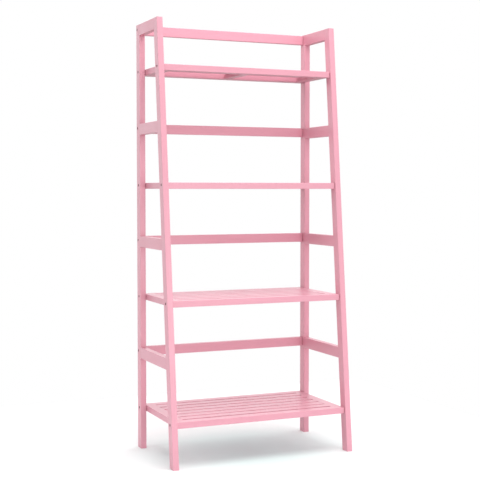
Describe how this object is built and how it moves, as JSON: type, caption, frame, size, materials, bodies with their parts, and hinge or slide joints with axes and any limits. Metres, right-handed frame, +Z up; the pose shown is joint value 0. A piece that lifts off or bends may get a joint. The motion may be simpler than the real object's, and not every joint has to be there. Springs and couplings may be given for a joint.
{
  "type": "ladder shelf",
  "caption": "Open ladder-style shelf: upright rear posts, slanted front posts, side and back rails, and slatted shelves that get shallower towards the top.",
  "frame": {"origin": "centre of the footprint at floor level, midway between the front foot edges and the rear faces", "axes": "+Z up, -Y towards the front, +X towards the right-hand side as seen from the front"},
  "size_m": [0.626, 0.346, 1.4],
  "materials": {
    "painted_wood": "satin pink paint over fine-grained wood",
    "bolt_metal": "dark bronze",
    "insert_brass": "plain turned brass",
    "dowel_wood": "bare beech"
  },
  "bodies": {
    "root": {"left_front_post": "painted_wood", "left_rear_post": "painted_wood", "right_front_post": "painted_wood", "right_rear_post": "painted_wood", "left_side_rail_1": "painted_wood", "left_side_rail_2": "painted_wood", "left_side_rail_3": "painted_wood", "left_side_rail_4": "painted_wood", "right_side_rail_1": "painted_wood", "right_side_rail_2": "painted_wood", "right_side_rail_3": "painted_wood", "right_side_rail_4": "painted_wood", "back_rail_1": "painted_wood", "back_rail_2": "painted_wood", "back_rail_3": "painted_wood", "back_rail_4": "painted_wood", "shelf_1_front_rail": "painted_wood", "shelf_2_front_rail": "painted_wood", "shelf_3_front_rail": "painted_wood", "shelf_4_front_rail": "painted_wood", "shelf_1_rear_rail": "painted_wood", "shelf_2_rear_rail": "painted_wood", "shelf_3_rear_rail": "painted_wood", "shelf_4_rear_rail": "painted_wood", "shelf_1_left_end": "painted_wood", "shelf_2_left_end": "painted_wood", "shelf_3_left_end": "painted_wood", "shelf_4_left_end": "painted_wood", "shelf_1_right_end": "painted_wood", "shelf_2_right_end": "painted_wood", "shelf_3_right_end": "painted_wood", "shelf_4_right_end": "painted_wood", "shelf_1_brace": "painted_wood", "shelf_2_brace": "painted_wood", "shelf_3_brace": "painted_wood", "shelf_4_brace": "painted_wood", "shelf_1_slat_1": "painted_wood", "shelf_1_slat_2": "painted_wood", "shelf_1_slat_3": "painted_wood", "shelf_1_slat_4": "painted_wood", "shelf_1_slat_5": "painted_wood", "shelf_1_slat_6": "painted_wood", "shelf_2_slat_1": "painted_wood", "shelf_2_slat_2": "painted_wood", "shelf_2_slat_3": "painted_wood", "shelf_2_slat_4": "painted_wood", "shelf_2_slat_5": "painted_wood", "shelf_3_slat_1": "painted_wood", "shelf_3_slat_2": "painted_wood", "shelf_3_slat_3": "painted_wood", "shelf_3_slat_4": "painted_wood", "shelf_4_slat_1": "painted_wood", "shelf_4_slat_2": "painted_wood", "shelf_4_slat_3": "painted_wood", "frame_bolts": "bolt_metal", "threaded_inserts": "insert_brass", "wooden_dowels": "dowel_wood"}
  },
  "joints": []
}
